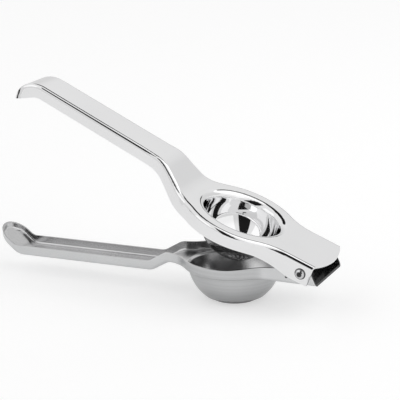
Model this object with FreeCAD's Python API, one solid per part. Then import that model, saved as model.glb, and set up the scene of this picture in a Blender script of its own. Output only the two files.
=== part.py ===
import FreeCAD, Part
import os
from math import sin, cos, tan, atan2, sqrt, radians, pi
from FreeCAD import Vector

# Hinged lemon squeezer: two pressed sheet steel arms joined by one through rivet.
# X runs towards the hinge, Y across the arms and Z up. The origin is the middle of the cup's
# flat foot, which rests on the table at Z = 0. All sizes are in millimetres and degrees.

# sheet and folds
SHEET_THICKNESS = 1.2
FOLD_RADIUS = 2.5

# hinge rivet
RIVET_RADIUS = 2.0
RIVET_HEAD_RADIUS = 3.6
RIVET_HEAD_HEIGHT = 2.1
RIVET_DIMPLE_RADIUS = 1.25
RIVET_DIMPLE_DEPTH = 0.9
HINGE_X = 53.5
HINGE_Z = 29.2
PIVOT_CLEARANCE = 0.06
EAR_SIDE_GAP = 0.25

# opening angle of the press arm, measured from the closed position
OPENING_ANGLE = 21.4

# press arm, measured from the hinge axis with the arm closed
PRESS_PLATE_HEIGHT = 7.8
PRESS_BOWL_REACH = 53.5
PRESS_FLANGE_RADIUS = 37.5
PRESS_HANDLE_WIDTH = 27.0
PRESS_EAR_WIDTH = 47.5
PRESS_NECK_FLARE = 80.0
PRESS_WAIST_FLARE = 30.0
PRESS_NOSE_REACH = 11.5
PRESS_NOSE_RADIUS = 52.0
PRESS_STEP_REACH = 88.7
PRESS_STEP_RISE = 12.6
PRESS_STEP_ANGLE = 31.0
PRESS_STEP_RADIUS = 22.0
PRESS_HANDLE_SLOPE = 3.9
PRESS_HANDLE_DEPTH = 8.2
PRESS_SKIRT_DEPTH = 10.2
PRESS_CURL_REACH = 215.5
PRESS_CURL_ANGLE = 65.0
PRESS_CURL_RADIUS = 18.0
PRESS_CURL_HEEL = 9.4
PRESS_TIP_REACH = 224.8
PRESS_TIP_LENGTH = 9.0
PRESS_TIP_LIP = 2.6
EAR_DROP = 5.9
EAR_TOP_REACH = 3.3
EAR_FRONT_REACH = 6.1
EAR_CORNER_RADIUS = 4.0
EAR_START_REACH = 33.0
EAR_START_HEIGHT = 1.6
EAR_FULL_REACH = 8.0

# plunger bowl drawn down from the press arm's plate
PLUNGER_HOLLOW_RADIUS = 24.8
PLUNGER_SPHERE_DROP = 4.7
PLUNGER_RIM_RADIUS = 4.5

# cup arm
CUP_FLOOR_HEIGHT = 21.2
CUP_FLANGE_RADIUS = 33.5
CUP_HANDLE_WIDTH = 25.4
CUP_NECK_FLARE = 28.0
CUP_WAIST_FLARE = 18.0
CUP_END_OVERHANG = 9.9
CUP_STEP_REACH = 40.7
CUP_STEP_DROP = 7.3
CUP_STEP_ANGLE = 30.0
CUP_STEP_RADIUS = 9.0
CUP_HANDLE_SLOPE = 0.8
CUP_HANDLE_DEPTH = 6.5
CUP_WALL_DEPTH = 6.7
CUP_CURL_REACH = 153.0
CUP_CURL_ANGLE = 40.0
CUP_CURL_RADIUS = 12.0
CUP_CURL_HEEL = -1.1
CUP_TIP_REACH = 168.6
CUP_TIP_LENGTH = 10.0
CUP_TIP_LIP = 4.4
CUP_WALL_RISE_START = 8.0
CUP_WALL_RISE_REACH = 38.0
CUP_WALL_RISE = 2.4
PIVOT_BOSS_RADIUS = 5.6
PILOT_HOLE_RADIUS = 0.9
PILOT_HOLE_SETBACK = 9.6
PILOT_HOLE_DROP = 3.6

# drawn cup with its stepped flat foot and drain holes
CUP_HOLLOW_RADIUS = 28.8
CUP_SPHERE_HEIGHT = 25.3
CUP_RIM_RADIUS = 2.0
FOOT_RADIUS = 15.8
FOOT_STEP_HEIGHT = 2.6
FOOT_SHOULDER_BLEND = 0.6
FOOT_EDGE_RADIUS = 1.3
DRAIN_HOLE_RADIUS = 1.6
DRAIN_OUTER_RING = 10.2
DRAIN_OUTER_COUNT = 10
DRAIN_INNER_RING = 5.4
DRAIN_INNER_COUNT = 5

# flat left between a drawn rim's joint and the flange's fold
FLAT_BESIDE_FOLD = 0.1

# length by which cutting shapes run past the faces they cut
OVERRUN = 20.0

EAR_INNER_HALF = 0.5 * PRESS_EAR_WIDTH - SHEET_THICKNESS
CUP_END_HALF = EAR_INNER_HALF - EAR_SIDE_GAP
CUP_END_REACH = HINGE_X + CUP_END_OVERHANG


def polar(centre, radius, angle):
    """Point in a flat drawing at a radius and an angle in radians about a centre."""
    return (centre[0] + radius * cos(angle), centre[1] + radius * sin(angle))


def lay(point, plane):
    """Put a flat drawing point on the side plane or the plan plane."""
    if plane == "side":
        return Vector(point[0], 0, point[1])
    return Vector(point[0], point[1], 0)


def crossing(first, first_angle, second, second_angle):
    """Meeting point of two lines, each given by a point and an angle in degrees."""
    dx1 = cos(radians(first_angle))
    dz1 = sin(radians(first_angle))
    dx2 = cos(radians(second_angle))
    dz2 = sin(radians(second_angle))
    scale = dx1 * dz2 - dz1 * dx2
    gap_x = second[0] - first[0]
    gap_z = second[1] - first[1]
    reach = (gap_x * dz2 - gap_z * dx2) / scale
    return (first[0] + reach * dx1, first[1] + reach * dz1)


def rounded_path(corners, plane):
    """Edges through corners given as x, z and blend radius, the ends left sharp."""
    edges = []
    start = corners[0]
    for index in range(1, len(corners) - 1):
        before = Vector(corners[index - 1][0], corners[index - 1][1], 0)
        here = Vector(corners[index][0], corners[index][1], 0)
        after = Vector(corners[index + 1][0], corners[index + 1][1], 0)
        radius = (corners[index] + (0,))[2]
        if radius <= 0:
            edges.append(Part.makeLine(lay(start, plane), lay(here, plane)))
            start = (here.x, here.y)
            continue
        inward = (before - here).normalize()
        onward = (after - here).normalize()
        half = 0.5 * inward.getAngle(onward)
        setback = radius / tan(half)
        enter = here + inward * setback
        leave = here + onward * setback
        bisector = (inward + onward).normalize()
        middle = here + bisector * (radius / sin(half) - radius)
        edges.append(Part.makeLine(lay(start, plane), lay((enter.x, enter.y), plane)))
        arc = Part.Arc(lay((enter.x, enter.y), plane), lay((middle.x, middle.y), plane),
                       lay((leave.x, leave.y), plane))
        edges.append(arc.toShape())
        start = (leave.x, leave.y)
    last = (corners[-1][0], corners[-1][1])
    edges.append(Part.makeLine(lay(start, plane), lay(last, plane)))
    return edges


def side_slab(corners, half_width):
    """Closed side drawing pushed out to both sides of the middle plane."""
    edges = rounded_path(corners + [corners[0]], "side")
    face = Part.Face(Part.Wire(edges))
    face.translate(Vector(0, -half_width, 0))
    return face.extrude(Vector(0, 2 * half_width, 0))


def flare(radius, centre_x, handle_half, flare_radius, side):
    """Centre and touching point of the hollow arc between a straight edge and the flange."""
    rise = handle_half + flare_radius
    run = sqrt((radius + flare_radius) ** 2 - rise ** 2)
    centre = (centre_x + side * run, rise)
    share = radius / (radius + flare_radius)
    touch = (centre_x + side * run * share, rise * share)
    return centre, touch


def plan_face(arm, inset, end_x):
    """Arm outline in plan: rounded tip, straight handle, hollow neck, round flange, end."""
    handle_half = 0.5 * arm["handle_width"] - inset
    end_half = arm["end_half"] - inset
    radius = arm["flange_radius"] - inset
    neck_radius = arm["neck_flare"] + inset
    waist_radius = arm["waist_flare"] + inset
    round_x = arm["tip_x"] + arm["tip_length"]
    neck, neck_touch = flare(radius, arm["flange_x"], handle_half, neck_radius, -1)
    waist, waist_touch = flare(radius, arm["flange_x"], end_half, waist_radius, 1)
    neck_turn = atan2(neck_touch[1] - neck[1], neck_touch[0] - neck[0])
    waist_turn = atan2(waist_touch[1] - waist[1], waist_touch[0] - waist[0])
    neck_middle = polar(neck, neck_radius, 0.5 * (neck_turn - 0.5 * pi))
    waist_middle = polar(waist, waist_radius, 0.5 * (waist_turn - 0.5 * pi))
    neck_start = (neck[0], handle_half)
    waist_end = (waist[0], end_half)
    stations = [(round_x, handle_half), neck_start, neck_middle, neck_touch,
                (arm["flange_x"], radius), waist_touch, waist_middle, waist_end,
                (end_x, end_half)]
    tip = Part.Ellipse(Vector(round_x, handle_half, 0), Vector(arm["tip_x"] + inset, 0, 0),
                       Vector(round_x, 0, 0))
    edges = [Part.ArcOfEllipse(tip, 0, pi).toShape()]
    for side in (1, -1):
        spots = [Vector(spot[0], side * spot[1], 0) for spot in stations]
        edges.append(Part.makeLine(spots[0], spots[1]))
        edges.append(Part.Arc(spots[1], spots[2], spots[3]).toShape())
        edges.append(Part.Arc(spots[3], spots[4], spots[5]).toShape())
        edges.append(Part.Arc(spots[5], spots[6], spots[7]).toShape())
        edges.append(Part.makeLine(spots[7], spots[8]))
    edges.append(Part.makeLine(Vector(end_x, end_half, 0), Vector(end_x, -end_half, 0)))
    return Part.Face(Part.Wire(Part.__sortEdges__(edges)))


def top_corners(arm, inset, end_x):
    """Corners of the arm's folded top line, seen from the side, from the hinge to the tip."""
    tip_slope = arm["curl_angle"] - arm["handle_slope"]
    plate = (end_x, arm["plate_z"] - inset)
    step = (arm["step_x"], arm["plate_z"])
    step_top = (arm["step_x"] - arm["step_rise"] / tan(radians(arm["step_angle"])),
                arm["plate_z"] + arm["step_rise"])
    curl_run = step_top[0] - arm["curl_x"]
    curl = (arm["curl_x"], step_top[1] + curl_run * tan(radians(arm["handle_slope"])))
    slant = -arm["step_angle"]
    slant_base = (step[0] - inset * sin(radians(arm["step_angle"])),
                  step[1] - inset * cos(radians(arm["step_angle"])))
    handle_base = (curl[0] - inset * sin(radians(arm["handle_slope"])),
                   curl[1] - inset * cos(radians(arm["handle_slope"])))
    tip_base = (curl[0] + inset * sin(radians(tip_slope)),
                curl[1] - inset * cos(radians(tip_slope)))
    low = crossing(plate, 0, slant_base, slant)
    high = crossing(slant_base, slant, handle_base, -arm["handle_slope"])
    bend = crossing(handle_base, -arm["handle_slope"], tip_base, tip_slope)
    tip = crossing(tip_base, tip_slope, (arm["tip_x"], 0), 90)
    step_radius = arm["step_radius"]
    return [plate, (low[0], low[1], step_radius + inset), (high[0], high[1], step_radius - inset),
            (bend[0], bend[1], arm["curl_radius"] - inset), tip]


def rim_corners(arm, end_x):
    """Corners of the side walls' free edge, from the tip back to the hinge end."""
    line = top_corners(arm, 0, end_x)
    tip = line[4]
    bend = line[3]
    slope = radians(arm["handle_slope"])
    depth = arm["handle_depth"]
    tip_edge = (tip[0], tip[1] - arm["tip_lip"])
    under_bend = (bend[0] + arm["curl_heel"], line[2][1] - depth
                  + (line[2][0] - bend[0] - arm["curl_heel"]) * tan(slope))
    under_high = (line[2][0] - depth * sin(0.5 * radians(arm["step_angle"])),
                  line[2][1] - depth / cos(slope))
    under_low = (line[1][0] - arm["skirt_depth"] * tan(0.5 * radians(arm["step_angle"])),
                 line[1][1] - arm["skirt_depth"])
    soft = arm["step_radius"]
    return [tip_edge, (under_bend[0], under_bend[1], 0.5 * arm["curl_radius"]),
            (under_high[0], under_high[1], soft), (under_low[0], under_low[1], soft)]


def fold_edges(solid, arm, inset, end_x):
    """Edges of a solid that lie along the folded top line, the open end left out."""
    line = Part.Wire(rounded_path(top_corners(arm, inset, end_x), "side"))
    chosen = []
    for edge in solid.Edges:
        middle = edge.valueAt(0.5 * (edge.FirstParameter + edge.LastParameter))
        first = edge.valueAt(edge.FirstParameter)
        last = edge.valueAt(edge.LastParameter)
        on_line = True
        for spot in (first, middle, last):
            flat = Part.Vertex(Vector(spot.x, 0, spot.z))
            if flat.distToShape(line)[0] > 0.001:
                on_line = False
        across = abs(first.x - last.x) < 0.001 and abs(abs(first.y) - abs(last.y)) < 0.001
        front = middle.x < arm["tip_x"] + arm["tip_length"]
        if on_line and (front or not across) and middle.x < end_x - 0.001:
            if abs(middle.y) > 0.001 or front:
                chosen.append(edge)
    return chosen


def channel(arm, rim_tail, end_x):
    """Folded sheet channel open below: outer pressing less the hollow inside it."""
    rim = rim_corners(arm, end_x) + rim_tail
    outer_side = side_slab(top_corners(arm, 0, end_x) + rim, arm["flange_radius"] + OVERRUN)
    outer_plan = plan_face(arm, 0, end_x)
    outer_plan.translate(Vector(0, 0, -10 * OVERRUN))
    outer = outer_plan.extrude(Vector(0, 0, 20 * OVERRUN)).common(outer_side)
    outer = outer.makeFillet(FOLD_RADIUS, fold_edges(outer, arm, 0, end_x))
    past_end = end_x + OVERRUN
    below = [(arm["tip_x"], -10 * OVERRUN), (past_end, -10 * OVERRUN)]
    inner_side = side_slab(top_corners(arm, SHEET_THICKNESS, past_end) + below,
                           arm["flange_radius"] + OVERRUN)
    inner_plan = plan_face(arm, SHEET_THICKNESS, past_end)
    inner_plan.translate(Vector(0, 0, -11 * OVERRUN))
    inner = inner_plan.extrude(Vector(0, 0, 21 * OVERRUN)).common(inner_side)
    inner_folds = fold_edges(inner, arm, SHEET_THICKNESS, past_end)
    inner = inner.makeFillet(FOLD_RADIUS - SHEET_THICKNESS, inner_folds)
    return outer.cut(inner)


def press_sizes():
    """Sizes of the press arm about the hinge axis, with its channel open below."""
    return {
        "handle_width": PRESS_HANDLE_WIDTH, "end_half": 0.5 * PRESS_EAR_WIDTH,
        "flange_radius": PRESS_FLANGE_RADIUS, "flange_x": -PRESS_BOWL_REACH,
        "neck_flare": PRESS_NECK_FLARE, "waist_flare": PRESS_WAIST_FLARE,
        "tip_x": -PRESS_TIP_REACH, "tip_length": PRESS_TIP_LENGTH, "tip_lip": PRESS_TIP_LIP,
        "plate_z": PRESS_PLATE_HEIGHT, "step_x": -PRESS_STEP_REACH,
        "step_rise": PRESS_STEP_RISE, "step_angle": PRESS_STEP_ANGLE,
        "step_radius": PRESS_STEP_RADIUS, "handle_slope": PRESS_HANDLE_SLOPE,
        "handle_depth": PRESS_HANDLE_DEPTH, "skirt_depth": PRESS_SKIRT_DEPTH,
        "curl_x": -PRESS_CURL_REACH, "curl_angle": PRESS_CURL_ANGLE,
        "curl_radius": PRESS_CURL_RADIUS, "curl_heel": PRESS_CURL_HEEL}


def cup_sizes():
    """Sizes of the cup arm turned upside down, so that its channel is open below."""
    return {
        "handle_width": CUP_HANDLE_WIDTH, "end_half": CUP_END_HALF,
        "flange_radius": CUP_FLANGE_RADIUS, "flange_x": 0.0,
        "neck_flare": CUP_NECK_FLARE, "waist_flare": CUP_WAIST_FLARE,
        "tip_x": -CUP_TIP_REACH, "tip_length": CUP_TIP_LENGTH, "tip_lip": CUP_TIP_LIP,
        "plate_z": -CUP_FLOOR_HEIGHT, "step_x": -CUP_STEP_REACH,
        "step_rise": CUP_STEP_DROP, "step_angle": CUP_STEP_ANGLE,
        "step_radius": CUP_STEP_RADIUS, "handle_slope": CUP_HANDLE_SLOPE,
        "handle_depth": CUP_HANDLE_DEPTH, "skirt_depth": CUP_WALL_DEPTH,
        "curl_x": -CUP_CURL_REACH, "curl_angle": CUP_CURL_ANGLE,
        "curl_radius": CUP_CURL_RADIUS, "curl_heel": CUP_CURL_HEEL}


def drawn_shell(sphere_radius, sphere_z, rim_radius, sheet_top, join_radius, floor):
    """Half section of a sheet drawn down through a rounded rim into a spherical hollow.

    The hollow side is walked first, then the back of the sheet. The floor gives the stepped
    foot; without it the sphere runs down to the axis.
    """
    edges = []
    ends = []
    rim_z = sheet_top - rim_radius
    rim_x = sqrt((sphere_radius + rim_radius) ** 2 - (rim_z - sphere_z) ** 2)
    turn = pi - atan2(sphere_z - rim_z, rim_x)
    for offset in (0, SHEET_THICKNESS):
        radius = rim_radius - offset
        ball = sphere_radius + offset
        crest = (rim_x, rim_z + radius)
        touch = polar((rim_x, rim_z), radius, turn)
        middle = polar((rim_x, rim_z), radius, 0.5 * (turn + 0.5 * pi))
        edges.append(Part.makeLine(lay((join_radius, crest[1]), "side"), lay(crest, "side")))
        rim = Part.Arc(lay(crest, "side"), lay(middle, "side"), lay(touch, "side"))
        edges.append(rim.toShape())
        start_angle = turn - pi
        if floor is None:
            bottom_angle = -0.5 * pi
            last = (0, sphere_z - ball)
        else:
            shoulder_z = floor["step"] + SHEET_THICKNESS - offset
            last = (sqrt(ball ** 2 - (sphere_z - shoulder_z) ** 2), shoulder_z)
            bottom_angle = atan2(shoulder_z - sphere_z, last[0])
        between = polar((0, sphere_z), ball, 0.5 * (start_angle + bottom_angle))
        bowl = Part.Arc(lay(touch, "side"), lay(between, "side"), lay(last, "side"))
        edges.append(bowl.toShape())
        if floor is not None:
            wall_x = floor["radius"] - SHEET_THICKNESS + offset
            foot_z = SHEET_THICKNESS - offset
            blend = floor["blend"] + SHEET_THICKNESS - offset
            corner = floor["edge"] - SHEET_THICKNESS + offset
            path = [last, (wall_x, shoulder_z, blend), (wall_x, foot_z, corner), (0, foot_z)]
            edges = edges + rounded_path(path, "side")
            last = (0, foot_z)
        ends.append((join_radius, crest[1]))
        ends.append(last)
    edges.append(Part.makeLine(lay(ends[0], "side"), lay(ends[2], "side")))
    edges.append(Part.makeLine(lay(ends[1], "side"), lay(ends[3], "side")))
    face = Part.Face(Part.Wire(Part.__sortEdges__(edges)))
    return face.revolve(Vector(0, 0, 0), Vector(0, 0, 1), 360)


def cross_hole(radius, x, z, half_width):
    """Round bar along Y used for the rivet shaft and for drilling both side walls."""
    return Part.makeCylinder(radius, 2 * half_width, Vector(x, -half_width, z), Vector(0, 1, 0))


def place_open(shape):
    """Swing the closed press arm open about the hinge axis and carry it to the hinge."""
    shape.rotate(Vector(0, 0, 0), Vector(0, 1, 0), OPENING_ANGLE)
    shape.translate(Vector(HINGE_X, 0, HINGE_Z))
    return shape


def make_press_arm():
    """Upper arm: handle channel, round flange with plunger bowl, and two hinge ears."""
    arm = press_sizes()
    end_x = PRESS_NOSE_REACH + SHEET_THICKNESS
    skirt_z = PRESS_PLATE_HEIGHT - PRESS_SKIRT_DEPTH
    tail = [(-EAR_START_REACH, skirt_z + EAR_START_HEIGHT, 2 * OVERRUN),
            (-EAR_FULL_REACH, -EAR_DROP, OVERRUN), (end_x, -EAR_DROP)]
    body = channel(arm, tail, end_x)
    nose = Part.makeCylinder(PRESS_NOSE_RADIUS, 4 * OVERRUN,
                             Vector(PRESS_NOSE_REACH - PRESS_NOSE_RADIUS, 0, -2 * OVERRUN))
    rear = Part.makeBox(12 * OVERRUN, 8 * OVERRUN, 4 * OVERRUN,
                        Vector(-12 * OVERRUN, -4 * OVERRUN, -2 * OVERRUN))
    fold_z = PRESS_PLATE_HEIGHT - FOLD_RADIUS
    ears = side_slab([(-OVERRUN, fold_z), (-OVERRUN, -EAR_DROP),
                      (EAR_FRONT_REACH, -EAR_DROP, EAR_CORNER_RADIUS),
                      (EAR_TOP_REACH, fold_z)], PRESS_EAR_WIDTH)
    body = body.common(nose.fuse([rear, ears]))
    rim_z = PRESS_PLATE_HEIGHT
    sphere_z = rim_z - PLUNGER_SPHERE_DROP
    join_radius = PLUNGER_HOLLOW_RADIUS + PLUNGER_RIM_RADIUS + SHEET_THICKNESS
    opening = Part.makeCylinder(join_radius, 2 * OVERRUN, Vector(-PRESS_BOWL_REACH, 0, 0))
    bowl = drawn_shell(PLUNGER_HOLLOW_RADIUS, sphere_z, PLUNGER_RIM_RADIUS, rim_z,
                       join_radius, None)
    bowl.translate(Vector(-PRESS_BOWL_REACH, 0, 0))
    body = body.cut(opening).fuse(bowl).removeSplitter()
    body = body.cut(cross_hole(RIVET_RADIUS, 0, 0, PRESS_EAR_WIDTH))
    return place_open(body)


def make_cup_arm():
    """Lower arm: handle channel, walled flange with the drawn cup, and the hinge channel."""
    arm = cup_sizes()
    wall_top = CUP_FLOOR_HEIGHT + CUP_WALL_DEPTH
    lean_x = CUP_END_REACH - HINGE_X
    lean_z = HINGE_Z - CUP_FLOOR_HEIGHT
    spread = atan2(PIVOT_BOSS_RADIUS, sqrt(lean_x ** 2 + lean_z ** 2 - PIVOT_BOSS_RADIUS ** 2))
    lean = atan2(lean_z, -lean_x) - spread
    crown_z = HINGE_Z + PIVOT_BOSS_RADIUS
    crown_x = CUP_END_REACH + (crown_z - CUP_FLOOR_HEIGHT) / tan(lean)
    tail = [(CUP_WALL_RISE_START, -wall_top, 2 * OVERRUN),
            (CUP_WALL_RISE_REACH, -wall_top - CUP_WALL_RISE, OVERRUN),
            (HINGE_X - PIVOT_BOSS_RADIUS, -crown_z, PIVOT_BOSS_RADIUS),
            (crown_x, -crown_z, PIVOT_BOSS_RADIUS)]
    body = channel(arm, tail, CUP_END_REACH)
    body = body.mirror(Vector(0, 0, 0), Vector(0, 0, 1))
    floor_top = CUP_FLOOR_HEIGHT + SHEET_THICKNESS
    foot = {"radius": FOOT_RADIUS, "step": FOOT_STEP_HEIGHT, "blend": FOOT_SHOULDER_BLEND,
            "edge": FOOT_EDGE_RADIUS}
    join_radius = CUP_FLANGE_RADIUS - FOLD_RADIUS - FLAT_BESIDE_FOLD
    opening = Part.makeCylinder(join_radius, 2 * OVERRUN, Vector(0, 0, 0))
    cup = drawn_shell(CUP_HOLLOW_RADIUS, CUP_SPHERE_HEIGHT, CUP_RIM_RADIUS, floor_top,
                      join_radius, foot)
    body = body.cut(opening).fuse(cup).removeSplitter()
    drills = [cross_hole(RIVET_RADIUS + PIVOT_CLEARANCE, HINGE_X, HINGE_Z, PRESS_EAR_WIDTH),
              cross_hole(PILOT_HOLE_RADIUS, HINGE_X - PILOT_HOLE_SETBACK,
                         HINGE_Z - PILOT_HOLE_DROP, PRESS_EAR_WIDTH)]
    drills = drills + drain_ring(DRAIN_OUTER_COUNT, DRAIN_OUTER_RING)
    drills = drills + drain_ring(DRAIN_INNER_COUNT, DRAIN_INNER_RING)
    return body.cut(drills)


def drain_ring(count, ring_radius):
    """Equal drain holes on a ring in the foot."""
    holes = []
    for index in range(count):
        centre = polar((0, 0), ring_radius, 2 * pi * index / count)
        base = Vector(centre[0], centre[1], -OVERRUN)
        holes.append(Part.makeCylinder(DRAIN_HOLE_RADIUS, 2 * OVERRUN, base))
    return holes


def make_rivet():
    """Through rivet: plain shaft with a domed, centre-punched head upset on each ear."""
    half_length = 0.5 * PRESS_EAR_WIDTH
    dome_radius = (RIVET_HEAD_RADIUS ** 2 + RIVET_HEAD_HEIGHT ** 2) / (2 * RIVET_HEAD_HEIGHT)
    rivet = cross_hole(RIVET_RADIUS, 0, 0, half_length)
    for side in (1, -1):
        face_y = side * half_length
        axis = Vector(0, side, 0)
        crown_y = face_y + side * RIVET_HEAD_HEIGHT
        dome = Part.makeSphere(dome_radius, Vector(0, crown_y - side * dome_radius, 0))
        blank = Part.makeCylinder(RIVET_HEAD_RADIUS, RIVET_HEAD_HEIGHT, Vector(0, face_y, 0), axis)
        punch = Part.makeCone(0, RIVET_DIMPLE_RADIUS, RIVET_DIMPLE_DEPTH,
                              Vector(0, crown_y - side * RIVET_DIMPLE_DEPTH, 0), axis)
        rivet = rivet.fuse(dome.common(blank).cut(punch))
    return place_open(rivet.removeSplitter())


os.makedirs("parts", exist_ok=True)
make_press_arm().exportStep("parts/press_arm.step")
make_cup_arm().exportStep("parts/cup_arm.step")
make_rivet().exportStep("parts/hinge_rivet.step")
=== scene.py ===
from math import cos, radians, sin

import bmesh
import bpy
from mathutils import Matrix, Vector


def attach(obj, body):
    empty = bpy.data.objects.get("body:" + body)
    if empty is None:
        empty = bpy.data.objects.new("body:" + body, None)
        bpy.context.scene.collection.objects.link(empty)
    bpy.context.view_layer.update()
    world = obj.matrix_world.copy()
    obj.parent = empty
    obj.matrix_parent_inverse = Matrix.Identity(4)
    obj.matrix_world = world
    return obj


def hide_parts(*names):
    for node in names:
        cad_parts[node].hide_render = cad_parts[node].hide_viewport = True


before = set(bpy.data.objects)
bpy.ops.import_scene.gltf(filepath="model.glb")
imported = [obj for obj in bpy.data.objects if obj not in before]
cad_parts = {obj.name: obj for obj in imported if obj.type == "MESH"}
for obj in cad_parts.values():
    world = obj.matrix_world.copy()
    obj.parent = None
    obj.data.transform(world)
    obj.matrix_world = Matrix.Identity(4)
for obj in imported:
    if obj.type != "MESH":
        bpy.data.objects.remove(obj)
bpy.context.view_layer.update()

bl_info = {
    "name": "Hinged Lemon Squeezer",
    "version": (1, 0, 0),
    "blender": (4, 5, 0),
    "location": "View3D > Sidebar > Squeezer",
    "description": "Dresses the hinged steel lemon squeezer and sets up its studio",
    "category": "Object",
}

# Lengths are in metres. A pattern's stretch and scale are per metre.
# A pair (low, high) is where a smooth step starts and ends, and may fall as well as rise.

# Outputs of Texture Coordinate and Light Path, and sockets of Mix, by their index
WORLD_DIRECTION = 0
OBJECT_NORMAL = 1
OBJECT_PLACE = 3
CAMERA_RAY = 0
GLOSSY_RAY = 3
MIX_FACTOR, MIX_FIRST, MIX_SECOND = 0, 6, 7
MIX_RESULT = 2

# Masks that both arms share
INWARD_GAIN = -150.0               # per metre, above nought where a wall faces the middle

# Press arm: wipe marks, scratches, and painted shade on the rougher underside and inner walls
WIPE_SCALE = 22.0
WIPE_EDGE = (0.35, 0.75)
WIPE_TINT = 0.93
HAIR_STRETCH = (12.0, 900.0, 900.0)
HAIR_TURN = (0.0, radians(24.0), 0.0)
SCRATCH_EDGE = (0.66, 0.74)
INNER_WALL_EDGE = (0.05, 0.3)
NOT_ABOVE_EDGE = (0.05, 0.01)
BELOW_EDGE = (-0.06, -0.2)
UNDERSIDE_SHADE_TINT = 0.45
POLISH_RELIEF = 0.0002

# Cup arm: grain and pits outside, darker bands round the cup, painted shade low on the cup,
# over the foot and at the hinge end inside, buffed inside
GRAIN_STRETCH = (140.0, 1500.0, 1500.0)
PIT_SCALE = 1400.0
WEAR_SCALE = 30.0
WEAR_EDGE = (0.4, 0.75)
INSIDE_EDGE = (0.05, 0.2)
GRAIN_TINTS = (0.94, 1.12)
CUP_EDGE = (0.037, 0.034)          # distance from the foot's axis
HANDLE_TINT = 1.5
RING_STRETCH = (0.0, 0.0, 420.0)
RING_EDGE = (0.38, 0.62)
RING_TINT = 0.66
# Painted shade: the cup darker towards the table
LOW_SHADE_EDGE = (0.015, 0.004)          # height above the table
LOW_SHADE_TINT = 0.5
# Painted shade in the step over the foot
FOOT_SHADE_EDGE = (0.0042, 0.0024)       # height above the table
FOOT_SHADE_TINT = 0.35
INNER_TINTS = (0.74, 0.66)
INNER_ROUGHNESS_ADDED = 0.19
# Painted shade deep in the channel's hinge end
HINGE_END_BEFORE = (0.012, 0.006)  # distance short of the hinge
HINGE_END_SHADE_TINT = 0.12
SATIN_RELIEF = 0.0001

# Rivet: turned rings, and painted shade as a dark middle and a dark rim, by distance from its
# axis
RING_TURNS = 9000.0                # radians per metre
DARK_MIDDLE_EDGE = (0.0019, 0.0014)
RIM_EDGE = (0.0026, 0.0032)
BLOTCH_SCALE = 300.0
RIVET_SHADE_TINT = 0.06
RIVET_RELIEF = 0.0001

# Skins of the CAD pieces
WELD_DISTANCE = 2e-6
SHARP_ANGLE = radians(28.0)
NORMAL_WEIGHT = 60

# Drain-hole rims: piece, number of holes, radius of their ring
DRAIN_RINGS = (("outer", 10, 0.0102), ("inner", 5, 0.0054))
RIM_SIDES = 40
BEAD_SIDES = 10

# Table
TABLE_RADIUS = 1.3
TABLE_SIDES = 96
TABLE_DROP = 0.0001                # keeps the table clear of the foot's face
TABLE_GLOW = 1.66
GLOW_TO_CAMERA = 0.33
GLOW_TO_MIRRORS = 0.2

# Studio sky: bearing in degrees, half width in degrees, lowest and highest height
FRONT_GAPS = ((13.0, 18.0, 0.03, 0.94), (-98.0, 11.0, -0.09, 0.12))
BACK_GAPS = ((2.0, 41.0, 0.60, 0.93), (4.0, 9.0, 0.30, 0.39))
SOFT_BOXES = ((78.0, 30.0, 0.06, 0.75), (-48.0, 22.0, 0.3, 0.8))
SOFT_EDGE = 0.03
GAP_DEPTH = 0.985
SKY_LEVEL = 0.72
SKY_RISE = 0.13
SKY_RISE_EDGE = (0.25, 0.6)
BOX_LEVEL = 0.24

# Key lamp and camera
LAMP_SIZE = 1.2
LAMP_PLACE = (0.55, 0.35, 0.95)
LAMP_AIM = (0.0, 0.0, 0.03)
CAMERA_TURN = radians(25.09)
CAMERA_TILT = radians(16.42)
CAMERA_ROLL = radians(-1.08)
CAMERA_ACROSS = -0.02238
CAMERA_RISE = 0.06094
CAMERA_DISTANCE = 1.0
SENSOR_WIDTH = 36.0                # millimetres, like the lens
LENS = 141.3


# Shader expressions: sockets that take part in Python arithmetic

class Value:
    """One output socket of a material tree, usable in ordinary arithmetic."""

    def __init__(self, tree, socket):
        self.tree = tree
        self.socket = socket

    def math(self, operation, *others):
        return self.tree.add("ShaderNodeMath", {"operation": operation}, (self,) + others)

    def __add__(self, other):
        return self.math("ADD", other)

    __radd__ = __add__

    def __sub__(self, other):
        return self.math("SUBTRACT", other)

    def __rsub__(self, other):
        return self.tree.add("ShaderNodeMath", {"operation": "SUBTRACT"}, (other, self))

    def __mul__(self, other):
        return self.math("MULTIPLY", other)

    __rmul__ = __mul__

    def __abs__(self):
        return self.math("ABSOLUTE")

    def step(self, low, high):
        """Go smoothly from nought at low to one at high."""
        return self.tree.add("ShaderNodeMapRange", {"interpolation_type": "SMOOTHSTEP"},
                             {"Value": self, "From Min": low, "From Max": high})


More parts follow.
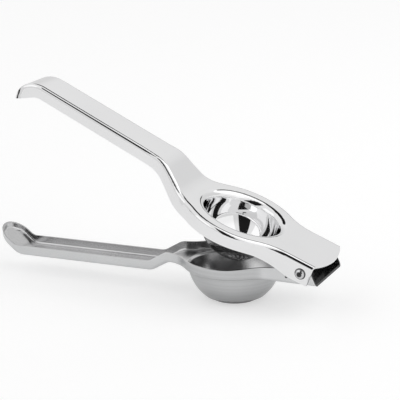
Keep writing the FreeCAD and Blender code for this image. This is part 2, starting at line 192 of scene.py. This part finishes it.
class Tree:
    """Builds the nodes of one material or of the world."""

    def __init__(self, owner):
        owner.use_nodes = True
        self.nodes = owner.node_tree.nodes
        self.links = owner.node_tree.links
        self.nodes.clear()

    def feed(self, node, pairs):
        """Link or set each named or numbered socket of a node."""
        for key, value in pairs:
            if isinstance(value, Value):
                self.links.new(value.socket, node.inputs[key])
            else:
                node.inputs[key].default_value = value

    def add(self, kind, settings=None, sockets=(), output=0):
        """Add a node with its settings first, then the values or links of its sockets."""
        node = self.nodes.new(kind)
        for name, setting in (settings or {}).items():
            setattr(node, name, setting)
        self.feed(node, sockets.items() if isinstance(sockets, dict) else enumerate(sockets))
        if not len(node.outputs):
            return node
        return Value(self, node.outputs[output])

    def mix(self, factor, first, second):
        """Blend two colours."""
        node = self.add("ShaderNodeMix", {"data_type": "RGBA"}).socket.node
        self.feed(node, ((MIX_FACTOR, factor), (MIX_FIRST, first), (MIX_SECOND, second)))
        return Value(self, node.outputs[MIX_RESULT])

    def place(self, scale=(1.0, 1.0, 1.0), turn=(0.0, 0.0, 0.0)):
        """Object coordinates, turned and stretched."""
        here = self.add("ShaderNodeTexCoord", output=OBJECT_PLACE)
        return self.add("ShaderNodeMapping", None,
                        {"Vector": here, "Rotation": turn, "Scale": scale})

    def parts(self, output):
        """The three components of a Texture Coordinate output."""
        vector = self.add("ShaderNodeTexCoord", output=output)
        split = self.add("ShaderNodeSeparateXYZ", None, (vector,)).socket.node
        return [Value(self, socket) for socket in split.outputs]

    def noise(self, place, scale, detail):
        """Smooth noise between nought and one."""
        return self.add("ShaderNodeTexNoise", {"noise_dimensions": "3D"},
                        {"Vector": place, "Scale": scale, "Detail": detail})

    def bump(self, height, strength, distance):
        return self.add("ShaderNodeBump", None,
                        {"Height": height, "Strength": strength, "Distance": distance})

    def finish_metal(self, colour, roughness, normal):
        shader = self.add("ShaderNodeBsdfPrincipled", None,
                          {"Base Color": colour, "Metallic": 1.0, "Roughness": roughness,
                           "Normal": normal})
        self.add("ShaderNodeOutputMaterial", None, {"Surface": shader})


def tint(colour, amount):
    """A colour made lighter or darker by a factor."""
    return (colour[0] * amount, colour[1] * amount, colour[2] * amount, 1.0)


# Materials

def polished_steel(chosen):
    """Buffed steel with faint wipe marks and hairline scratches, rougher and darkened with
    painted shade underneath and on its inner walls.
    """
    material = bpy.data.materials.new("polished_steel")
    tree = Tree(material)
    cloud = tree.noise(tree.place(), WIPE_SCALE, 4.0)
    hair = tree.noise(tree.place(HAIR_STRETCH, HAIR_TURN), 1.0, 2.0)
    scratch = hair.step(*SCRATCH_EDGE)
    wipe = cloud.step(*WIPE_EDGE)
    lean = radians(chosen.opening)
    face_x, face_y, face_z = tree.parts(OBJECT_NORMAL)
    place_y = tree.parts(OBJECT_PLACE)[1]
    above = face_x * sin(lean) + face_z * cos(lean)
    inwards = place_y * face_y * INWARD_GAIN
    # Painted shade on the inner walls and on faces turned down, which are also rougher
    walls = inwards.step(*INNER_WALL_EDGE) * above.step(*NOT_ABOVE_EDGE)
    under = walls.math("MAXIMUM", above.step(*BELOW_EDGE))
    steel = chosen.polished_colour
    outer = tree.mix(wipe * 0.35, tint(steel, 1.0), tint(steel, WIPE_TINT))
    colour = tree.mix(under, outer, tint(steel, UNDERSIDE_SHADE_TINT))
    roughness = chosen.polish_roughness + wipe * 0.035 + scratch * 0.03 + under * 0.08
    normal = tree.bump(hair * 0.4 + cloud, 0.05, POLISH_RELIEF)
    tree.finish_metal(colour, roughness, normal)
    return material


def satin_steel(chosen):
    """Tumbled steel outside, with a fine grain and worn patches, and buffed inside; painted
    shade darkens the cup low down, over the foot and at the hinge end of the channel.
    """
    material = bpy.data.materials.new("satin_steel")
    tree = Tree(material)
    grain = tree.noise(tree.place(GRAIN_STRETCH), 1.0, 3.0)
    pits = tree.noise(tree.place(), PIT_SCALE, 2.0)
    wear = tree.noise(tree.place(), WEAR_SCALE, 4.0).step(*WEAR_EDGE)
    # Darker horizontal bands round the cup
    rings = tree.noise(tree.place(RING_STRETCH), 1.0, 2.0).step(*RING_EDGE)
    place_x, place_y, place_z = tree.parts(OBJECT_PLACE)
    _, face_y, face_z = tree.parts(OBJECT_NORMAL)
    inwards = place_y * face_y * INWARD_GAIN
    inside = face_z.math("MAXIMUM", inwards).step(*INSIDE_EDGE)

    steel = chosen.satin_colour
    on_cup = (place_x * place_x + place_y * place_y).math("SQRT").step(*CUP_EDGE)
    # Painted shade: the cup darkened towards the table
    low = place_z.step(*LOW_SHADE_EDGE) * on_cup
    # Painted shade: dark band in the step over the foot
    foot = place_z.step(*FOOT_SHADE_EDGE)
    outer = tree.mix(wear * 0.4 + grain * 0.25, *(tint(steel, each) for each in GRAIN_TINTS))
    for factor, amount in (((1.0 - on_cup) * 0.3, HANDLE_TINT),
                           (rings * on_cup * 0.24, RING_TINT),
                           (low * 0.5, LOW_SHADE_TINT),
                           (foot * 0.7, FOOT_SHADE_TINT)):
        outer = tree.mix(factor, outer, tint(steel, amount))

    buffed = chosen.polished_colour
    inner = tree.mix(wear * 0.3, *(tint(buffed, each) for each in INNER_TINTS))
    # Painted shade: the inside darkened towards the hinge end of the channel
    hinge_end_shade = place_x.step(*(chosen.hinge_x - before for before in HINGE_END_BEFORE))
    inner = tree.mix(hinge_end_shade, inner, tint(buffed, HINGE_END_SHADE_TINT))

    colour = tree.mix(inside, outer, inner)
    rough_outer = chosen.satin_roughness + grain * 0.09 - wear * 0.05
    rough_inner = chosen.polish_roughness + INNER_ROUGHNESS_ADDED + wear * 0.05
    roughness = rough_outer + (rough_inner - rough_outer) * inside
    relief = (grain * 0.6 + pits * 0.5) * (1.0 - inside * 0.85)
    normal = tree.bump(relief, 0.14, SATIN_RELIEF)
    tree.finish_metal(colour, roughness, normal)
    return material


def rivet_steel(chosen):
    """Upset rivet head, with turned rings about the rivet's axis and painted shade at its
    middle and rim.
    """
    material = bpy.data.materials.new("rivet_steel")
    tree = Tree(material)
    shift = (-chosen.hinge_x, 0.0, -chosen.hinge_z)
    here = tree.add("ShaderNodeTexCoord", output=OBJECT_PLACE)
    centred = tree.add("ShaderNodeVectorMath", {"operation": "ADD"}, (here, shift))
    flat = tree.add("ShaderNodeVectorMath", {"operation": "MULTIPLY"}, (centred, (1, 0, 1)))
    reach = tree.add("ShaderNodeVectorMath", {"operation": "LENGTH"}, (flat,), output=1)
    rings = (reach * RING_TURNS).math("SINE")
    # Painted shade: a dark middle and a dark rim on the rivet head
    rivet_shade = reach.step(*DARK_MIDDLE_EDGE) + reach.step(*RIM_EDGE)
    blotch = tree.noise(tree.place(), BLOTCH_SCALE, 3.0)
    steel = chosen.rivet_colour
    colour = tree.mix(rivet_shade * 0.9 + blotch * 0.1, tint(steel, 1.0), tint(steel, RIVET_SHADE_TINT))
    roughness = chosen.polish_roughness + 0.08 + blotch * 0.1 + rivet_shade * 0.2
    normal = tree.bump(rings * 0.3 + blotch, 0.12, RIVET_RELIEF)
    tree.finish_metal(colour, roughness, normal)
    return material


# Meshes

def smooth_skin(node_name, piece_name, material):
    """A welded, smoothly shaded copy of a CAD piece that stands for it."""
    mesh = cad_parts[node_name].data.copy()
    mesh.name = piece_name
    work = bmesh.new()
    work.from_mesh(mesh)
    bmesh.ops.remove_doubles(work, verts=work.verts, dist=WELD_DISTANCE)
    for face in work.faces:
        face.smooth = True
    work.to_mesh(mesh)
    work.free()
    mesh.materials.clear()
    mesh.materials.append(material)
    mesh.set_sharp_from_angle(angle=SHARP_ANGLE)
    piece = bpy.data.objects.new(piece_name, mesh)
    bpy.context.scene.collection.objects.link(piece)
    even = piece.modifiers.new("even_normals", "WEIGHTED_NORMAL")
    even.keep_sharp = True
    even.weight = NORMAL_WEIGHT
    return freeze(piece)


def freeze(piece):
    """Turn a piece with modifiers into a plain mesh."""
    graph = bpy.context.evaluated_depsgraph_get()
    mesh = bpy.data.meshes.new_from_object(piece.evaluated_get(graph))
    old = piece.data
    piece.modifiers.clear()
    piece.data = mesh
    mesh.name = piece.name
    bpy.data.meshes.remove(old)
    return piece


def drain_rim_tree(material):
    """Geometry nodes that set one burnished rim at each drain hole of a ring."""
    tree = bpy.data.node_groups.new("drain_rims", "GeometryNodeTree")
    face = tree.interface
    face.new_socket("Geometry", in_out="OUTPUT", socket_type="NodeSocketGeometry")
    for name, kind in (("Count", "NodeSocketInt"), ("Ring Radius", "NodeSocketFloat"),
                       ("Rim Radius", "NodeSocketFloat"), ("Rim Width", "NodeSocketFloat"),
                       ("Height", "NodeSocketFloat")):
        face.new_socket(name, in_out="INPUT", socket_type=kind)
    new = tree.nodes.new
    given = new("NodeGroupInput")
    result = new("NodeGroupOutput")
    ring = new("GeometryNodeMeshCircle")
    rim = new("GeometryNodeCurvePrimitiveCircle")
    rim.inputs["Resolution"].default_value = RIM_SIDES
    bead = new("GeometryNodeCurvePrimitiveCircle")
    bead.inputs["Resolution"].default_value = BEAD_SIDES
    sweep = new("GeometryNodeCurveToMesh")
    put = new("GeometryNodeInstanceOnPoints")
    lift = new("ShaderNodeCombineXYZ")
    move = new("GeometryNodeTransform")
    soft = new("GeometryNodeSetShadeSmooth")
    real = new("GeometryNodeRealizeInstances")
    paint = new("GeometryNodeSetMaterial")
    paint.inputs["Material"].default_value = material
    for source, output, target, entry in ((given, "Count", ring, "Vertices"),
                                          (given, "Ring Radius", ring, "Radius"),
                                          (given, "Rim Radius", rim, "Radius"),
                                          (given, "Rim Width", bead, "Radius"),
                                          (given, "Height", lift, "Z"),
                                          (rim, "Curve", sweep, "Curve"),
                                          (bead, "Curve", sweep, "Profile Curve"),
                                          (ring, "Mesh", put, "Points"),
                                          (sweep, "Mesh", put, "Instance"),
                                          (put, "Instances", move, "Geometry"),
                                          (lift, "Vector", move, "Translation"),
                                          (move, "Geometry", soft, "Geometry"),
                                          (soft, "Geometry", real, "Geometry"),
                                          (real, "Geometry", paint, "Geometry"),
                                          (paint, "Geometry", result, "Geometry")):
        tree.links.new(source.outputs[output], target.inputs[entry])
    return tree


# Settings, operators and panel

class SqueezerSettings(bpy.types.PropertyGroup):
    polished_colour: bpy.props.FloatVectorProperty(
        name="Polished colour", description="Colour of the buffed press arm",
        subtype="COLOR", size=3, min=0.0, max=1.0, default=(0.90, 0.90, 0.905))
    satin_colour: bpy.props.FloatVectorProperty(
        name="Satin colour", description="Colour of the tumbled cup arm",
        subtype="COLOR", size=3, min=0.0, max=1.0, default=(0.60, 0.605, 0.61))
    rivet_colour: bpy.props.FloatVectorProperty(
        name="Rivet colour", description="Colour of the hinge rivet",
        subtype="COLOR", size=3, min=0.0, max=1.0, default=(0.72, 0.72, 0.73))
    polish_roughness: bpy.props.FloatProperty(
        name="Polish roughness", description="Roughness of the buffed steel",
        subtype="FACTOR", min=0.0, max=1.0, default=0.035)
    satin_roughness: bpy.props.FloatProperty(
        name="Satin roughness", description="Roughness of the tumbled steel",
        subtype="FACTOR", min=0.0, max=1.0, default=0.21)
    opening: bpy.props.FloatProperty(
        name="Opening", description="Lean of the press arm's flange at rest, in degrees",
        min=0.0, max=90.0, default=21.4)
    hinge_x: bpy.props.FloatProperty(
        name="Hinge reach", description="Distance of the hinge from the foot's middle",
        unit="LENGTH", default=0.0535)
    hinge_z: bpy.props.FloatProperty(
        name="Hinge height", description="Height of the hinge above the table",
        unit="LENGTH", default=0.0292)
    drain_radius: bpy.props.FloatProperty(
        name="Drain hole radius", description="Radius of each drain hole",
        unit="LENGTH", default=0.0016)
    drain_rim: bpy.props.FloatProperty(
        name="Drain rim", description="Thickness of the burnished rim of a drain hole",
        unit="LENGTH", default=0.00018)
    foot_inside: bpy.props.FloatProperty(
        name="Foot inside height", description="Height of the cup's inner floor",
        unit="LENGTH", default=0.0012)
    floor_colour: bpy.props.FloatVectorProperty(
        name="Floor colour", description="Colour of the table under the squeezer",
        subtype="COLOR", size=3, min=0.0, max=1.0, default=(0.86, 0.86, 0.86))
    lamp_power: bpy.props.FloatProperty(
        name="Lamp power", description="Power of the soft key lamp in watts",
        unit="POWER", min=0.0, default=1.8)


def settings():
    return bpy.context.scene.squeezer


class SQUEEZER_OT_press_arm(bpy.types.Operator):
    """Dress the polished press arm"""
    bl_idname = "squeezer.press_arm"
    bl_label = "Press arm"

    def execute(self, context):
        skin = smooth_skin("press_arm", "press_arm_skin", polished_steel(settings()))
        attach(skin, "press")
        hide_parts("press_arm")
        return {"FINISHED"}


class SQUEEZER_OT_cup_arm(bpy.types.Operator):
    """Dress the satin cup arm"""
    bl_idname = "squeezer.cup_arm"
    bl_label = "Cup arm"

    def execute(self, context):
        skin = smooth_skin("cup_arm", "cup_arm_skin", satin_steel(settings()))
        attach(skin, "cup")
        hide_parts("cup_arm")
        return {"FINISHED"}


class SQUEEZER_OT_hinge_rivet(bpy.types.Operator):
    """Dress the hinge rivet"""
    bl_idname = "squeezer.hinge_rivet"
    bl_label = "Hinge rivet"

    def execute(self, context):
        skin = smooth_skin("hinge_rivet", "hinge_rivet_skin", rivet_steel(settings()))
        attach(skin, "press")
        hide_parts("hinge_rivet")
        return {"FINISHED"}


class SQUEEZER_OT_drain_rims(bpy.types.Operator):
    """Burnish the rims of the drain holes inside the cup"""
    bl_idname = "squeezer.drain_rims"
    bl_label = "Drain rims"

    def execute(self, context):
        chosen = settings()
        tree = drain_rim_tree(bpy.data.materials["satin_steel"])
        inputs = {item.name: item.identifier for item in tree.interface.items_tree
                  if item.in_out == "INPUT"}
        for name, count, ring in DRAIN_RINGS:
            holder = bpy.data.meshes.new("drain_rims_" + name)
            piece = bpy.data.objects.new("drain_rims_" + name, holder)
            context.scene.collection.objects.link(piece)
            maker = piece.modifiers.new("rims", "NODES")
            maker.node_group = tree
            values = {"Count": count, "Ring Radius": ring, "Rim Radius": chosen.drain_radius,
                      "Rim Width": chosen.drain_rim, "Height": chosen.foot_inside}
            for label, value in values.items():
                maker[inputs[label]] = value
            freeze(piece)
            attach(piece, "cup")
        return {"FINISHED"}


class SQUEEZER_OT_studio(bpy.types.Operator):
    """Set up the table, the soft light and the camera"""
    bl_idname = "squeezer.studio"
    bl_label = "Studio"

    def execute(self, context):
        make_floor(settings())
        make_world()
        make_lamp(settings())
        make_camera()
        context.scene.view_settings.view_transform = "Standard"
        return {"FINISHED"}


class SQUEEZER_PT_panel(bpy.types.Panel):
    """Lists the squeezer's pieces and sizes"""
    bl_idname = "SQUEEZER_PT_panel"
    bl_label = "Lemon Squeezer"
    bl_space_type = "VIEW_3D"
    bl_region_type = "UI"
    bl_category = "Squeezer"

    def draw(self, context):
        chosen = context.scene.squeezer
        for name in chosen.bl_rna.properties.keys():
            if name not in ("rna_type", "name"):
                self.layout.prop(chosen, name)
        for operator in OPERATORS:
            self.layout.operator(operator.bl_idname)


OPERATORS = (SQUEEZER_OT_press_arm, SQUEEZER_OT_cup_arm, SQUEEZER_OT_hinge_rivet,
             SQUEEZER_OT_drain_rims, SQUEEZER_OT_studio)
CLASSES = (SqueezerSettings,) + OPERATORS + (SQUEEZER_PT_panel,)


# Studio

def make_floor(chosen):
    """A wide pale table that keeps the contact shadow and fades to white."""
    material = bpy.data.materials.new("pale_table")
    tree = Tree(material)
    seen = tree.add("ShaderNodeLightPath", output=CAMERA_RAY)
    mirrored = tree.add("ShaderNodeLightPath", output=GLOSSY_RAY)
    cloud = tree.noise(tree.place(), 3.0, 2.0)
    colour = tree.mix(cloud * 0.3, tint(chosen.floor_colour, 1.0),
                      tint(chosen.floor_colour, 0.98))
    matte = tree.add("ShaderNodeBsdfDiffuse", None, {"Color": colour})
    glow = tree.add("ShaderNodeEmission", None, {"Strength": TABLE_GLOW})
    share = seen * GLOW_TO_CAMERA + mirrored * GLOW_TO_MIRRORS
    both = tree.add("ShaderNodeMixShader", None, (share, matte, glow))
    tree.add("ShaderNodeOutputMaterial", None, {"Surface": both})
    work = bmesh.new()
    bmesh.ops.create_circle(work, cap_ends=True, segments=TABLE_SIDES, radius=TABLE_RADIUS)
    bmesh.ops.translate(work, verts=work.verts, vec=(0.0, 0.0, -TABLE_DROP))
    mesh = bpy.data.meshes.new("table")
    work.to_mesh(mesh)
    work.free()
    mesh.materials.append(material)
    table = bpy.data.objects.new("table", mesh)
    bpy.context.scene.collection.objects.link(table)


def sky_patch(bearing, height, patch):
    """One in a patch of sky about a bearing, and nought outside its soft edge."""
    centre, half, low, high = patch
    side = abs(bearing - radians(centre)).step(radians(half) + SOFT_EDGE, radians(half))
    return side * height.step(low, low + SOFT_EDGE) * height.step(high + SOFT_EDGE, high)


def make_world():
    """White studio with dark gaps between its soft boxes, which the polished bowl mirrors."""
    world = bpy.data.worlds.new("studio")
    bpy.context.scene.world = world
    tree = Tree(world)
    across, depth, height = tree.parts(WORLD_DIRECTION)
    front = across.math("ARCTAN2", 0.0 - depth)
    back = (0.0 - across).math("ARCTAN2", depth)
    gaps = [sky_patch(front, height, patch) for patch in FRONT_GAPS]
    gaps += [sky_patch(back, height, patch) for patch in BACK_GAPS]
    dark = gaps[0]
    for gap in gaps[1:]:
        dark = dark.math("MAXIMUM", gap)
    key_box, fill_box = (sky_patch(front, height, patch) for patch in SOFT_BOXES)
    boxes = key_box + fill_box
    sky = SKY_LEVEL + height.step(*SKY_RISE_EDGE) * SKY_RISE + boxes * BOX_LEVEL
    seen = tree.add("ShaderNodeLightPath", output=CAMERA_RAY)
    shade = (1.0 - dark * GAP_DEPTH) * sky
    level = seen + (1.0 - seen) * shade
    backdrop = tree.add("ShaderNodeBackground", None,
                        {"Color": (1.0, 1.0, 1.0, 1.0), "Strength": level})
    tree.add("ShaderNodeOutputWorld", None, {"Surface": backdrop})


def make_lamp(chosen):
    """One large soft lamp high on the right and behind."""
    lamp = bpy.data.lights.new("soft_key", "AREA")
    lamp.shape = "DISK"
    lamp.size = LAMP_SIZE
    lamp.energy = chosen.lamp_power
    holder = bpy.data.objects.new("soft_key", lamp)
    holder.location = LAMP_PLACE
    aim = Vector(LAMP_AIM) - holder.location
    holder.rotation_euler = aim.to_track_quat("-Z", "Y").to_euler()
    holder.visible_camera = False
    bpy.context.scene.collection.objects.link(holder)


def make_camera():
    """Camera at the photograph's viewing angle, a metre away."""
    right = Vector((cos(CAMERA_TURN), sin(CAMERA_TURN), 0.0))
    forward = Vector((-sin(CAMERA_TURN) * cos(CAMERA_TILT),
                      cos(CAMERA_TURN) * cos(CAMERA_TILT), -sin(CAMERA_TILT)))
    up = right.cross(forward)
    level_right = cos(CAMERA_ROLL) * right + sin(CAMERA_ROLL) * up
    level_up = cos(CAMERA_ROLL) * up - sin(CAMERA_ROLL) * right
    place = (CAMERA_ACROSS * level_right + CAMERA_RISE * level_up
             - CAMERA_DISTANCE * forward)
    camera = bpy.data.cameras.new("camera")
    camera.sensor_width = SENSOR_WIDTH
    camera.lens = LENS
    holder = bpy.data.objects.new("camera", camera)
    turned = Matrix((level_right, level_up, -forward)).transposed()
    holder.matrix_world = Matrix.Translation(place) @ turned.to_4x4()
    bpy.context.scene.collection.objects.link(holder)
    bpy.context.scene.camera = holder


def register():
    for item in CLASSES:
        bpy.utils.register_class(item)
    bpy.types.Scene.squeezer = bpy.props.PointerProperty(type=SqueezerSettings)


def unregister():
    del bpy.types.Scene.squeezer
    for item in reversed(CLASSES):
        bpy.utils.unregister_class(item)


def main():
    """Run every step in order."""
    register()
    bpy.ops.squeezer.press_arm()
    bpy.ops.squeezer.cup_arm()
    bpy.ops.squeezer.hinge_rivet()
    bpy.ops.squeezer.drain_rims()
    bpy.ops.squeezer.studio()


if __name__ == "__main__":
    main()
